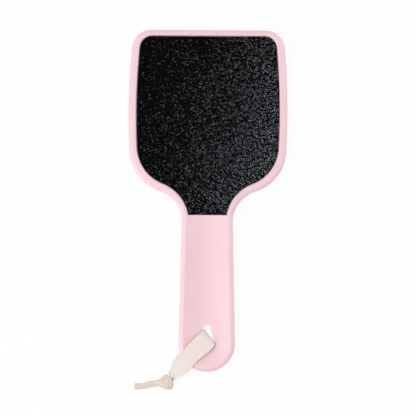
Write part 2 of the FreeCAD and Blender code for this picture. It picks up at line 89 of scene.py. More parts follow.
class Graph:
    """The node tree of one new material, filled by short calls."""

    def __init__(self, name: str) -> None:
        """Start an empty tree.

        Args:
            name: the material's name.
        """
        self.material = bpy.data.materials.new(name)
        self.material.use_nodes = True
        self.tree = self.material.node_tree
        self.tree.nodes.clear()

    def add(self, kind: str, inputs: dict | None = None, **settings: object) -> bpy.types.Node:
        """Add a node.

        Args:
            kind: the node's type, without its common prefix.
            inputs: socket name or number to a value, or to the output socket that feeds it.
            settings: the node's own properties.

        Returns:
            The new node.
        """
        node = self.tree.nodes.new(f"ShaderNode{kind}")
        for name, value in settings.items():
            setattr(node, name, value)
        for name, value in (inputs or {}).items():
            if isinstance(value, Socket):
                self.tree.links.new(value, node.inputs[name])
            else:
                node.inputs[name].default_value = value
        return node

    def math(self, operation: str, first: Value, second: Value = 0.0, clamp: bool = False) -> Socket:
        """The result of a sum on one or two values."""
        return self.add("Math", {0: first, 1: second}, operation=operation, use_clamp=clamp).outputs[0]

    def coordinates(self, kind: str = "Object") -> Socket:
        """Where a point is on its object, or its UV."""
        return self.add("TexCoord").outputs[kind]

    def noise(self, vector: Socket, scale: float, detail: float = 2.0) -> Socket:
        """A cloudy value from 0 to 1."""
        inputs = {"Vector": vector, "Scale": scale, "Detail": detail}
        return self.add("TexNoise", inputs).outputs["Fac"]

    def ramp(self, factor: Socket, dark: Colour, light: Colour,
             low: float = 0.3, high: float = 0.7) -> Socket:
        """A colour between two.

        Args:
            factor: the value that chooses the colour.
            dark: the colour up to low.
            light: the colour from high on.
            low: the factor where the change starts.
            high: the factor where it ends.

        Returns:
            The colour's socket.
        """
        node = self.add("ValToRGB", {"Fac": factor})
        for stop, place, colour in zip(node.color_ramp.elements, (low, high), (dark, light)):
            stop.position = place
            stop.color = (*colour, 1.0)
        return node.outputs["Color"]

    def spread(self, factor: Socket, low: float, high: float) -> Socket:
        """A value between low and high, by a factor from 0 to 1."""
        return self.add("MapRange", {"Value": factor, "To Min": low, "To Max": high}).outputs["Result"]

    def bump(self, height: Socket, distance: float, under: Socket | None = None) -> Socket:
        """A normal that stands for a height map.

        Args:
            height: the map, from 0 to 1.
            distance: its depth in metres.
            under: another such normal, which this one lies over.

        Returns:
            The normal's socket.
        """
        inputs = {"Height": height, "Distance": distance, "Strength": 1.0}
        if under is not None:
            inputs["Normal"] = under
        return self.add("Bump", inputs).outputs["Normal"]

    def finish(self, inputs: dict) -> bpy.types.Material:
        """Close the tree with a principled surface.

        Args:
            inputs: the surface's socket names to values or sockets.

        Returns:
            The finished material.
        """
        surface = self.add("BsdfPrincipled", inputs)
        self.add("OutputMaterial", {"Surface": surface.outputs["BSDF"]})
        return self.material


def scaled(colour: Colour, factor: float) -> Colour:
    """A colour made lighter or darker."""
    return tuple(channel * factor for channel in colour)


@dataclass(frozen=True)
class MouldedPlastic:
    """Satin moulding: faint flow clouds, a fine spark texture, handling marks and a parting line."""

    name: str = "moulded_plastic"
    colour: Colour = (0.9, 0.632, 0.681)
    cloud_tones: Span = (0.975, 1.015)
    roughness: Span = (0.36, 0.48)
    cloud_scale: float = 38.0
    mark_scale: float = 260.0
    mark_depth: float = 0.02 * MM
    spark_scale: float = 5200.0
    spark_depth: float = 0.012 * MM
    parting_height: float = 4.5 * MM
    parting_width: float = 0.12 * MM
    parting_depth: float = 0.05 * MM

    def build(self) -> bpy.types.Material:
        """Make the material.

        Returns:
            The finished material.
        """
        graph = Graph(self.name)
        place = graph.coordinates()
        clouds = graph.noise(place, self.cloud_scale, detail=3.0)
        marks = graph.noise(place, self.mark_scale, detail=4.0)
        spark = graph.noise(place, self.spark_scale, detail=1.0)
        height = graph.add("SeparateXYZ", {"Vector": place}).outputs["Z"]
        away = graph.math("ABSOLUTE", graph.math("SUBTRACT", height, self.parting_height))
        line = graph.math("SUBTRACT", 1.0, graph.math("DIVIDE", away, self.parting_width), clamp=True)
        texture = graph.bump(spark, self.spark_depth)
        waves = graph.bump(marks, self.mark_depth, texture)
        deep, pale = (scaled(self.colour, tone) for tone in self.cloud_tones)
        return graph.finish({
            "Base Color": graph.ramp(clouds, deep, pale),
            "Roughness": graph.spread(marks, *self.roughness),
            "Normal": graph.bump(line, self.parting_depth, waves),
            "Subsurface Weight": 0.08,
            "Subsurface Radius": (1.0, 0.45, 0.4),
            "Subsurface Scale": 2.0 * MM,
        })


@dataclass(frozen=True)
class Grit:
    """Black abrasive grains: glassy facets, a little lighter or bluer from one grain to the next."""

    name: str
    dark: Colour = (0.001, 0.0011, 0.0015)
    light: Colour = (0.004, 0.0043, 0.0054)
    shades: Span = (0.15, 0.95)
    roughness: Span = (0.05, 0.12)
    chip_scale: float = 6500.0
    chip_depth: float = 0.0012 * MM

    def build(self) -> bpy.types.Material:
        """Make the material, which reads each grain's own shade.

        Returns:
            The finished material.
        """
        graph = Graph(self.name)
        shade = graph.add("Attribute", attribute_name=GRAIN_SHADE).outputs["Fac"]
        chips = graph.noise(graph.coordinates(), self.chip_scale)
        return graph.finish({
            "Base Color": graph.ramp(shade, self.dark, self.light, *self.shades),
            "Roughness": graph.spread(shade, *self.roughness),
            "Normal": graph.bump(chips, self.chip_depth),
            "IOR": 2.0,
            "Specular Tint": (0.88, 0.92, 1.0, 1.0),
        })


@dataclass(frozen=True)
class SizeCoat:
    """The black resin between the grains: pitted, with small beads and duller hollows."""

    name: str
    colour: Colour = (0.0011, 0.0012, 0.0015)
    hollow_tones: Span = (0.6, 1.6)
    hollow_scale: float = 420.0
    roughness: Span = (0.45, 0.75)
    bead_scale: float = 1700.0
    bead_depth: float = 0.12 * MM

    def build(self) -> bpy.types.Material:
        """Make the material.

        Returns:
            The finished material.
        """
        graph = Graph(self.name)
        place = graph.coordinates()
        beads = graph.add("TexVoronoi", {"Vector": place, "Scale": self.bead_scale}).outputs["Distance"]
        hollows = graph.noise(place, self.hollow_scale, detail=3.0)
        deep, pale = (scaled(self.colour, tone) for tone in self.hollow_tones)
        return graph.finish({
            "Base Color": graph.ramp(hollows, deep, pale),
            "Roughness": graph.spread(hollows, *self.roughness),
            "Normal": graph.bump(beads, self.bead_depth),
            "Specular IOR Level": 0.01,
        })


@dataclass(frozen=True)
class BackingPaper:
    """Heavy dark paper: long fibres that catch a little light, and a dull surface."""

    name: str = "backing_paper"
    dark: Colour = (0.012, 0.011, 0.011)
    light: Colour = (0.03, 0.028, 0.027)
    roughness: Span = (0.7, 0.9)
    fibre_stretch: Place = (1.0, 0.2, 1.0)
    fibre_scale: float = 3000.0
    fibre_depth: float = 0.03 * MM

    def build(self) -> bpy.types.Material:
        """Make the material.

        Returns:
            The finished material.
        """
        graph = Graph(self.name)
        stretched = graph.add("Mapping", {"Vector": graph.coordinates(), "Scale": self.fibre_stretch})
        fibres = graph.noise(stretched.outputs["Vector"], self.fibre_scale, detail=4.0)
        return graph.finish({
            "Base Color": graph.ramp(fibres, self.dark, self.light),
            "Roughness": graph.spread(fibres, *self.roughness),
            "Normal": graph.bump(fibres, self.fibre_depth),
        })


@dataclass(frozen=True)
class AdhesiveFilm:
    """Cream pressure adhesive: slightly glossy, with trapped bubbles."""

    name: str = "adhesive_film"
    dark: Colour = (0.52, 0.47, 0.36)
    light: Colour = (0.66, 0.61, 0.5)
    roughness: Span = (0.25, 0.4)
    cloud_scale: float = 150.0
    bubble_scale: float = 700.0
    bubble_depth: float = 0.03 * MM

    def build(self) -> bpy.types.Material:
        """Make the material.

        Returns:
            The finished material.
        """
        graph = Graph(self.name)
        place = graph.coordinates()
        bubbles = graph.add("TexVoronoi", {"Vector": place, "Scale": self.bubble_scale}).outputs["Distance"]
        clouds = graph.noise(place, self.cloud_scale)
        return graph.finish({
            "Base Color": graph.ramp(clouds, self.dark, self.light),
            "Roughness": graph.spread(clouds, *self.roughness),
            "Normal": graph.bump(bubbles, self.bubble_depth),
        })


@dataclass(frozen=True)
class WovenTape:
    """Cotton tape: crossing threads, slubs in the yarn, a soft sheen, and thread tops painted paler than the
    hollows between them, as painted shade of the weave.

    The UV holds millimetres along and across the tape.
    """

    name: str = "woven_tape"
    dark: Colour = (0.77, 0.665, 0.59)
    light: Colour = (0.93, 0.845, 0.79)
    tones: Span = (0.25, 0.75)
    roughness: Span = (0.75, 0.95)
    thread: float = 0.42
    thread_depth: float = 0.07 * MM
    weave_heights: Span = (0.5, 1.0)
    slub_stretch: Place = (0.35, 2.4, 1.0)
    slub_share: float = 0.75
    fuzz_scale: float = 9.0
    fuzz_depth: float = 0.03 * MM

    def build(self) -> bpy.types.Material:
        """Make the material.

        Returns:
            The finished material.
        """
        graph = Graph(self.name)
        place = graph.coordinates("UV")
        parts = graph.add("SeparateXYZ", {"Vector": place}).outputs
        turns = FULL_TURN / self.thread
        weft = graph.math("SINE", graph.math("MULTIPLY", parts["X"], turns))
        warp = graph.math("SINE", graph.math("MULTIPLY", parts["Y"], turns))
        weave = graph.spread(graph.math("MULTIPLY", weft, warp), *self.weave_heights)
        stretched = graph.add("Mapping", {"Vector": place, "Scale": self.slub_stretch})
        yarn = graph.noise(stretched.outputs["Vector"], scale=1.0, detail=3.0)
        slubs = graph.math("MULTIPLY", yarn, self.slub_share)
        fuzz = graph.noise(place, self.fuzz_scale)
        # The weave's share of the tone is painted shade: paler on the thread tops and darker in the hollows
        # between threads. The slubs are the yarn's own tone.
        tone = graph.math("ADD", slubs, graph.math("MULTIPLY", weave, 1.0 - self.slub_share))
        threads = graph.bump(weave, self.thread_depth)
        return graph.finish({
            "Base Color": graph.ramp(tone, self.dark, self.light, *self.tones),
            "Roughness": graph.spread(fuzz, *self.roughness),
            "Normal": graph.bump(fuzz, self.fuzz_depth, threads),
            "Sheen Weight": 0.15,
            "Sheen Roughness": 0.5,
        })


def smooth_step(low: float, high: float, value: np.ndarray) -> np.ndarray:
    """A ramp from 0 at low to 1 at high, level at both ends."""
    share = np.clip((value - low) / (high - low), 0.0, 1.0)
    return share * share * (3.0 - 2.0 * share)


def hump(rise: Span, fall: Span, value: np.ndarray) -> np.ndarray:
    """A ramp from 0 to 1 over one span, and back to 0 over another."""
    return smooth_step(*rise, value) * (1.0 - smooth_step(*fall, value))


def mixed(first: np.ndarray, second: float | np.ndarray, share: np.ndarray) -> np.ndarray:
    """The values between two, by a share from 0 to 1."""
    return first + (np.asarray(second) - first) * share


def unit(vectors: np.ndarray) -> np.ndarray:
    """Vectors of length one."""
    return vectors / np.linalg.norm(vectors, axis=-1, keepdims=True)


def triangle_normals(corners: np.ndarray) -> np.ndarray:
    """Vectors square to triangles, each as long as twice the triangle's area."""
    return np.cross(corners[:, 1] - corners[:, 0], corners[:, 2] - corners[:, 0])


def run_lengths(points: np.ndarray) -> np.ndarray:
    """How far along a line of points each one lies."""
    steps = np.linalg.norm(np.diff(points, axis=0), axis=1)
    return np.concatenate(([0.0], np.cumsum(steps)))


def level_across(line: np.ndarray) -> tuple[np.ndarray, np.ndarray]:
    """The heading of a line at each point, and the level direction to the right of it."""
    heading = unit(np.gradient(line, axis=0))
    return heading, unit(np.stack((heading[:, 1], -heading[:, 0], np.zeros(len(line))), axis=-1))


def add_mesh(name: str, points: np.ndarray, faces: np.ndarray, smooth: bool) -> bpy.types.Object:
    """Add a mesh object at the origin.

    Args:
        name: the object's name.
        points: places in the part's frame, in metres, one row each.
        faces: rows of point numbers, all with as many corners.
        smooth: whether its faces shade into each other.

    Returns:
        The new object, linked to the scene.
    """
    mesh = bpy.data.meshes.new(name)
    mesh.from_pydata(points.reshape(-1, 3), [], faces.tolist())
    if smooth:
        mesh.shade_smooth()
    else:
        mesh.shade_flat()
    made = bpy.data.objects.new(name, mesh)
    bpy.context.scene.collection.objects.link(made)
    return made


def add_uv(made: bpy.types.Object, along: np.ndarray, across: np.ndarray) -> None:
    """Give an object's points a UV.

    Args:
        made: the object.
        along: the first coordinate of each point.
        across: the second coordinate of each point.
    """
    mesh = made.data
    corners = np.empty(len(mesh.loops), np.int32)
    mesh.loops.foreach_get("vertex_index", corners)
    pairs = np.stack((along.ravel()[corners], across.ravel()[corners]), axis=1)
    mesh.uv_layers.new(name="tape").data.foreach_set("uv", pairs.astype(np.float32).ravel())


def ring_faces(rows: int, ring: int) -> np.ndarray:
    """Four-cornered faces of a tube of closed rings, with its ends closed by strips across them.

    Args:
        rows: how many rings there are.
        ring: how many points each one has, an even number.

    Returns:
        Rows of four point numbers, for points that are numbered ring after ring.
    """
    row, spot = np.meshgrid(np.arange(rows - 1) * ring, np.arange(ring), indexing="ij")
    following = (spot + 1) % ring
    corners = (row + spot, row + ring + spot, row + ring + following, row + following)
    tube = np.stack(corners, axis=-1).reshape(-1, 4)
    spot = np.arange(ring // 2 - 1)
    start = np.stack((spot, spot + 1, ring - 2 - spot, ring - 1 - spot), axis=-1)
    end = start[:, ::-1] + (rows - 1) * ring
    return np.concatenate((tube, start, end))


def spline_line(name: str, places: list[Place], resolution: int) -> np.ndarray:
    """The points that a NURBS spline gives for a route.

    Args:
        name: the name of the curve, which is removed again.
        places: the route's control points.
        resolution: how many points the spline gives for each of them.

    Returns:
        The points in order, without repeats.
    """
    curve = bpy.data.curves.new(name, "CURVE")
    curve.dimensions = "3D"
    curve.resolution_u = resolution
    spline = curve.splines.new("NURBS")
    spline.points.add(len(places) - 1)
    for point, place in zip(spline.points, places):
        point.co = (*place, 1.0)
    spline.order_u = 3
    spline.use_endpoint_u = True
    holder = bpy.data.objects.new(name, curve)
    mesh = bpy.data.meshes.new_from_object(holder)
    line = np.empty(len(mesh.vertices) * 3, np.float32)
    mesh.vertices.foreach_get("co", line)
    bpy.data.meshes.remove(mesh)
    bpy.data.objects.remove(holder)
    bpy.data.curves.remove(curve)
    line = line.reshape(-1, 3).astype(float)
    shortest_step = 1e-7
    fresh = np.linalg.norm(np.diff(line, axis=0), axis=1) > shortest_step
    return line[np.concatenate(([True], fresh))]


def tape_piece(name: str, line: np.ndarray, across: np.ndarray, sections: np.ndarray,
               thick: float) -> bpy.types.Object:
    """Add a strip of tape of an even thickness along a line.

    At each point of the line, the section's middle line lies in the plane of the across direction and the
    upward direction square to both it and the line. The tape's skin is that middle line moved half a
    thickness to one side and back along the other, so that each section is a closed thin ring.

    Args:
        name: the object's name.
        line: the points that the strip follows.
        across: the direction of the tape's width at each point.
        sections: for each point, the section's middle line as offsets across and upwards.
        thick: the tape's thickness.

    Returns:
        The new object, with a UV in millimetres along and across the tape.
    """
    heading = unit(np.gradient(line, axis=0))
    upward = unit(np.cross(heading, across))
    slope = unit(np.gradient(sections, axis=1))
    outward = np.stack((-slope[..., 1], slope[..., 0]), axis=-1) * (thick / 2)
    skin = np.concatenate((sections + outward, (sections - outward)[:, ::-1]), axis=1)
    points = (line[:, None] + skin[..., :1] * across[:, None] + skin[..., 1:] * upward[:, None])
    rows, ring = skin.shape[:2]
    made = add_mesh(name, points, ring_faces(rows, ring), True)
    steps = np.linalg.norm(np.diff(sections, axis=1), axis=2)
    width = np.concatenate((np.zeros((rows, 1)), np.cumsum(steps, axis=1)), axis=1) / MM
    width = np.concatenate((width, width[:, ::-1]), axis=1)
    add_uv(made, np.repeat(run_lengths(line)[:, None] / MM, ring, axis=1), width)
    return made


def dress(piece: bpy.types.Object, material: bpy.types.Material) -> None:
    """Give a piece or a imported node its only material.

    Args:
        piece: the object.
        material: its finish.
    """
    piece.data.materials.clear()
    piece.data.materials.append(material)
    LOG.info("%s: %s", piece.name, material.name)


@dataclass
class Paddle:
    """The moulding: head, neck and handle in one, as it is packed."""

    material: bpy.types.Material
    node: str = "paddle_body"

    def build(self) -> None:
        """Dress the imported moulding."""
        dress(frame["nodes"][self.node], self.material)


@dataclass
class Grains:
    """Loose-looking crystals stuck on a packed coat: each a crooked four-faced one with a tilted top.

    Ranges of sizes are shares of the mean size, and those of heights are shares of the full height.
    """

    name: str
    coat: str
    side: Side
    count: int
    size: float
    tall: float
    edge: float
    seed: int
    tilt: float = math.radians(2.8)
    loose_share: float = 0.03
    loose_lean: float = 7.0
    sizes: Span = (0.6, 1.4)
    corner_reach: Span = (0.36, 0.52)
    corner_swing: float = 0.4
    heights: Span = (0.4, 1.0)
    lowest: float = 0.1
    highest: float = 1.05
    sunk: float = 0.25
    least_facing: float = 0.9
    edge_match: float = 0.01 * MM
    fit_degree: int = 4

    def coat_triangles(self) -> np.ndarray:
        """The corners of the coat's outward triangles.

        Returns:
            Three places for each triangle that faces away from the paddle.
        """
        mesh = frame["nodes"][self.coat].data
        mesh.calc_loop_triangles()
        numbers = np.empty(len(mesh.loop_triangles) * 3, np.int32)
        mesh.loop_triangles.foreach_get("vertices", numbers)
        places = np.empty(len(mesh.vertices) * 3, np.float32)
        mesh.vertices.foreach_get("co", places)
        corners = places.reshape(-1, 3)[numbers].reshape(-1, 3, 3).astype(float)
        facing = unit(triangle_normals(corners))[:, 2] * self.side.value
        return corners[facing > self.least_facing]

    def dish_slope(self, corners: np.ndarray, spots: np.ndarray) -> np.ndarray:
        """The coat's slope at each spot.

        The coat's heights are fitted by least squares with every product of powers of the two plan
        coordinates up to a degree in all, and the slope is that sum's derivative.

        Args:
            corners: the corners of the coat's triangles.
            spots: places on the coat.

        Returns:
            The slope across and along the paddle, one pair a spot.
        """
        steps = range(self.fit_degree + 1)
        powers = np.array([(across, along) for across in steps for along in steps[:len(steps) - across]])
        places = corners.reshape(-1, 3)
        reach = np.abs(places[:, :2]).max()
        terms = np.prod((places[:, None, :2] / reach) ** powers, axis=2)
        weights = np.linalg.lstsq(terms, places[:, 2], rcond=None)[0]
        plan = spots[:, None, :2] / reach
        lower = np.maximum(powers - 1, 0)
        across = powers[:, 0] * plan[..., 0] ** lower[:, 0] * plan[..., 1] ** powers[:, 1]
        along = powers[:, 1] * plan[..., 0] ** powers[:, 0] * plan[..., 1] ** lower[:, 1]
        return np.stack((across @ weights, along @ weights), axis=-1) / reach

    def rim_clearance(self, corners: np.ndarray, spots: np.ndarray) -> np.ndarray:
        """How far each spot is, in plan, from the coat's outline.

        The outline is made of the edges that only one of the triangles has.

        Args:
            corners: the corners of the coat's triangles.
            spots: places on the coat.

        Returns:
            One distance a spot.
        """
        sides = np.concatenate((corners[:, (0, 1)], corners[:, (1, 2)], corners[:, (2, 0)]))[..., :2]
        keys = np.round(sides / self.edge_match).astype(np.int64)
        start, end = keys[:, 0], keys[:, 1]
        level = start[:, 0] == end[:, 0]
        swap = (start[:, 0] > end[:, 0]) | (level & (start[:, 1] > end[:, 1]))
        keys[swap] = keys[swap][:, ::-1]
        _, index, uses = np.unique(keys.reshape(-1, 4), axis=0, return_index=True, return_counts=True)
        nearest = np.full(len(spots), np.inf)
        for start, end in sides[index[uses == 1]]:
            run = end - start
            away = spots[:, :2] - start
            share = np.clip((away @ run) / (run @ run), 0.0, 1.0)
            nearest = np.minimum(nearest, np.linalg.norm(away - share[:, None] * run, axis=1))
        return nearest

    def scatter(self, random: np.random.Generator) -> tuple[np.ndarray, np.ndarray]:
        """Places spread evenly over the coat, clear of its outline.

        A triangle is chosen by its area, and a place in it by the square root of one share and by another.

        Args:
            random: the source of the draws.

        Returns:
            The places, and the coat's slope at each.
        """
        corners = self.coat_triangles()
        area = np.linalg.norm(triangle_normals(corners), axis=1)
        chosen = random.choice(len(corners), self.count, p=area / area.sum())
        share = random.random((self.count, 2))
        root = np.sqrt(share[:, :1])
        weights = np.concatenate((1.0 - root, root * (1.0 - share[:, 1:]), root * share[:, 1:]), axis=1)
        spots = np.einsum("nk,nkd->nd", weights, corners[chosen])
        spots = spots[self.rim_clearance(corners, spots) > self.edge]
        return spots, self.dish_slope(corners, spots)

    def build(self, material: bpy.types.Material) -> bpy.types.Object:
        """Add the grains.

        Each crystal has three top corners round a circle and a point sunk in the coat. Radii, heights and
        angles vary evenly about their means. The top leans from the coat's own slope by one with a normal
        spread, wider for a share of loose grains.

        Args:
            material: the grains' finish.

        Returns:
            The new object.
        """
        random = np.random.default_rng(self.seed)
        spots, dish = self.scatter(random)
        count = len(spots)
        size = self.size * random.uniform(*self.sizes, (count, 1))
        turn = random.uniform(0.0, FULL_TURN, (count, 1)) + np.arange(3) * (FULL_TURN / 3.0)
        turn = turn + random.uniform(-self.corner_swing, self.corner_swing, (count, 3))
        radius = size * random.uniform(*self.corner_reach, (count, 3))
        plan = np.stack((radius * np.cos(turn), radius * np.sin(turn) * self.side.value), axis=-1)
        loose = np.where(random.random((count, 1, 1)) < self.loose_share, self.loose_lean, 1.0)
        slope = random.normal(0.0, math.tan(self.tilt), (count, 1, 2)) * loose
        rise = self.tall * random.uniform(*self.heights, (count, 1)) + (plan * slope).sum(axis=-1)
        rise = np.clip(rise, self.lowest * self.tall, self.highest * self.tall)
        height = rise * self.side.value + (plan * dish[:, None]).sum(axis=-1)
        point = np.array((0.0, 0.0, -self.sunk * self.tall * self.side.value))
        offset = np.concatenate((plan, height[..., None]), axis=-1)
        offset = np.concatenate((offset, np.broadcast_to(point, (count, 1, 3))), axis=1)
        crystal = np.array([(0, 1, 2), (0, 3, 1), (1, 3, 2), (2, 3, 0)])
        faces = (np.arange(count)[:, None, None] * len(crystal) + crystal).reshape(-1, 3)
        made = add_mesh(self.name, spots[:, None] + offset, faces, False)
        shade = np.repeat(random.random(count), len(crystal)).astype(np.float32)
        made.data.attributes.new(GRAIN_SHADE, "FLOAT", "POINT").data.foreach_set("value", shade)
        dress(made, material)
        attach(made, Body.PADDLE.value)
        LOG.info("%s: %d grains", self.name, count)
        return made


@dataclass
class AbrasiveSheet:
    """One sheet: film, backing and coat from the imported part, with grains on the coat."""

    grade: Grade
    side: Side
    slot: str
    count: int
    grain_size: float
    grain_tall: float
    seed: int

    def build(self, film: bpy.types.Material, paper: bpy.types.Material) -> None:
        """Dress the sheet's packed layers and add its grains.

        Args:
            film: the finish of the adhesive.
            paper: the finish of the backing.
        """
        nodes, grade = frame["nodes"], self.grade.value
        coat = f"{grade}_grit_coat"
        dress(nodes[f"{grade}_adhesive_film"], film)
        dress(nodes[f"{grade}_backing_sheet"], paper)
        dress(nodes[coat], SizeCoat(f"{grade}_size_coat").build())
        grains = Grains(f"{grade}_grains", coat, self.side, self.count, self.grain_size, self.grain_tall,
                        edge=self.grain_size / 2, seed=self.seed)
        made = grains.build(Grit(f"{grade}_grit").build())


@dataclass
class RibbonKnot:
    """The knot: a turn of tape wound round the throat, and a pleated wedge that runs out to the tails."""

    material: bpy.types.Material
    thick: float = 0.3 * MM
    wrap_centre: Place = (-23.9 * MM, -111.8 * MM, 3.4 * MM)
    wrap_heading: float = math.radians(100.0)
    wrap_reach: Pair = (4.1 * MM, 2.4 * MM)
    wrap_width: float = 5.2 * MM
    wrap_turn: Span = (math.radians(-115.0), math.radians(285.0))
    wrap_growth: float = 0.15 * MM
    wrap_sway: float = 0.8 * MM
    wrap_arch: float = 0.45 * MM
    wrap_hem: float = 0.5 * MM
    wrap_pinch: float = 0.18
    wrap_pinch_at: float = 0.4
    ridge_depth: float = 0.13 * MM
    ridge_count: float = 2.4
    ridge_wander: float = 1.1
    ridge_start: float = 0.5
    wedge_bend: tuple[Place, ...] = (
        (-21.6 * MM, -110.6 * MM, 3.2 * MM),
        (-24.6 * MM, -112.6 * MM, 3.3 * MM),
        (-28.0 * MM, -112.0 * MM, 2.6 * MM),
        (-33.2 * MM, -112.9 * MM, 1.2 * MM),
    )
    wedge_full: Pair = (4.1 * MM, 2.6 * MM)
    wedge_end: Pair = (1.45 * MM, 0.7 * MM)
    wedge_boxy: float = 2.6
    bell_peak: float = 0.3
    bell_widths: Pair = (0.3, 0.36)
    pleat_depths: Span = (0.02, 0.085)
    pleat_fade: float = 0.7
    pleat_count: float = 9.0
    pleat_twist: float = 2.5
    # Points of each mesh along its run and across or round it.
    wrap_grid: tuple[int, int] = (97, 33)
    wedge_grid: tuple[int, int] = (61, 96)

    def build_wrap(self) -> bpy.types.Object:
        """Add the turn: a band round an ellipse that grows along its run, so that its end laps its start.

        The band's section is a low arch with soft ridges and edges drawn in, and its middle sways from
        side to side as it goes round.

        Returns:
            The new object.
        """
        rows, columns = self.wrap_grid
        turn = np.linspace(*self.wrap_turn, rows)
        growth = np.linspace(-self.wrap_growth, self.wrap_growth, rows)
        level = np.array((math.cos(self.wrap_heading), math.sin(self.wrap_heading), 0.0))
        upright = np.array((0.0, 0.0, 1.0))
        side = np.cross(level, upright)
        sway = self.wrap_sway * np.sin(turn)
        line = (np.array(self.wrap_centre)
                + ((self.wrap_reach[0] + growth) * np.cos(turn))[:, None] * level
                + ((self.wrap_reach[1] + growth) * np.sin(turn))[:, None] * upright
                + sway[:, None] * side)
        spot = np.linspace(-1.0, 1.0, columns)
        wander = self.ridge_wander * np.sin(turn)[:, None] + self.ridge_start
        ridges = self.ridge_depth * np.cos(spot * self.ridge_count * math.pi + wander)
        arch = self.wrap_arch * (1.0 - spot**2) - self.wrap_hem * spot**6
        pinch = 1.0 - self.wrap_pinch * np.cos(turn - self.wrap_pinch_at)[:, None] ** 2
        sections = np.stack((self.wrap_width / 2 * spot * pinch, arch + ridges), axis=-1)
        across = np.repeat(side[None], rows, axis=0)
        return tape_piece("ribbon_knot_wrap", line, across, sections, self.thick)

    def build_wedge(self) -> bpy.types.Object:
        """Add the wedge: flattened rings along a cubic curve.

        The rings swell in a bell near the wrap and shrink towards the tails. Cosine pleats round each ring
        turn slowly along the wedge, deepest in its middle.

        Returns:
            The new object.
        """
        rows, columns = self.wedge_grid
        share = np.linspace(0.0, 1.0, rows)[:, None]
        first, second, third, last = (np.array(place) for place in self.wedge_bend)
        line = (first * (1 - share) ** 3 + second * 3 * share * (1 - share) ** 2
                + third * 3 * share**2 * (1 - share) + last * share**3)
        heading, across = level_across(line)
        upward = np.cross(across, heading)
        widths = np.where(share < self.bell_peak, *self.bell_widths)
        bell = np.exp(-((share - self.bell_peak) / widths) ** 2)
        half = mixed(np.array(self.wedge_end), np.array(self.wedge_full), bell)
        turn = np.linspace(0.0, FULL_TURN, columns, endpoint=False)
        shallow, deep = self.pleat_depths
        depth = deep * np.sin(share * math.pi) ** self.pleat_fade + shallow
        pleats = 1.0 + depth * np.cos(self.pleat_count * turn + self.pleat_twist * share + np.sin(2.0 * turn))
        power = self.wedge_boxy
        boxy = (np.abs(np.cos(turn)) ** power + np.abs(np.sin(turn)) ** power) ** (-1 / power)
        sideways = half[:, :1] * boxy * np.cos(turn) * pleats
        upwards = half[:, 1:] * boxy * np.sin(turn) * pleats
        points = line[:, None] + sideways[..., None] * across[:, None] + upwards[..., None] * upward[:, None]
        made = add_mesh("ribbon_knot_wedge", points, ring_faces(rows, columns), True)
        along = np.repeat(run_lengths(line)[:, None] / MM, columns, axis=1)
        add_uv(made, along, half.sum(axis=1, keepdims=True) / MM * turn)
        return made

    def build(self) -> list[bpy.types.Object]:
        """Add the knot's two pieces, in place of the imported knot.

        Returns:
            The new objects.
        """
        pieces = [self.build_wrap(), self.build_wedge()]
        for piece in pieces:
            dress(piece, self.material)
            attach(piece, Body.RIBBON.value)
        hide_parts("ribbon_knot")
        return pieces


